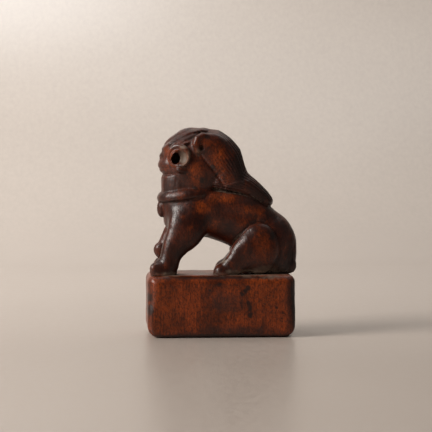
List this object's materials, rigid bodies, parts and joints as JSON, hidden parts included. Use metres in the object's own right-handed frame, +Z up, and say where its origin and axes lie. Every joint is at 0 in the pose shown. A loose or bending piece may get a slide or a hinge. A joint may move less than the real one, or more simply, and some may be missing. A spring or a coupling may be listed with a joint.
{
  "type": "seal stamp",
  "caption": "Hand seal of carved wood: a rounded rectangular stamping block topped by a seated lion that serves as its grip, with an opening under the belly for a cord",
  "frame": {"origin": "middle of the object's box on the plane of the stamping face", "axes": "+Z up from the stamping face, -X the way the lion looks, -Y the lion's left side"},
  "size_m": [0.0464, 0.024, 0.0638],
  "materials": {
    "block_wood": "polished red-brown wood with upright grain and dark flecks",
    "body_wood": "dark red-brown wood worn glossy by handling, dust in the cuts",
    "face_wood": "worn red-brown wood with orange patches and dark pits",
    "hair_wood": "dark brown carved hair, satin, dust in the grooves",
    "collar_wood": "rubbed red-brown wood, glossy on the raised edge"
  },
  "bodies": {
    "root": {"seal_block": "block_wood", "seal_face": "block_wood", "torso": "body_wood", "left_foreleg": "body_wood", "right_foreleg": "body_wood", "left_forepaw": "body_wood", "right_forepaw": "body_wood", "play_ball": "body_wood", "left_hind_leg": "body_wood", "right_hind_leg": "body_wood", "left_hind_paw": "body_wood", "right_hind_paw": "body_wood", "tail": "hair_wood", "forelock": "hair_wood", "mane_hood": "hair_wood", "mane_cape": "hair_wood", "head": "face_wood", "muzzle": "face_wood", "jaw": "face_wood", "left_ear": "face_wood", "right_ear": "face_wood", "left_eye": "face_wood", "right_eye": "face_wood", "collar": "collar_wood", "chest_bell": "collar_wood"}
  },
  "joints": []
}
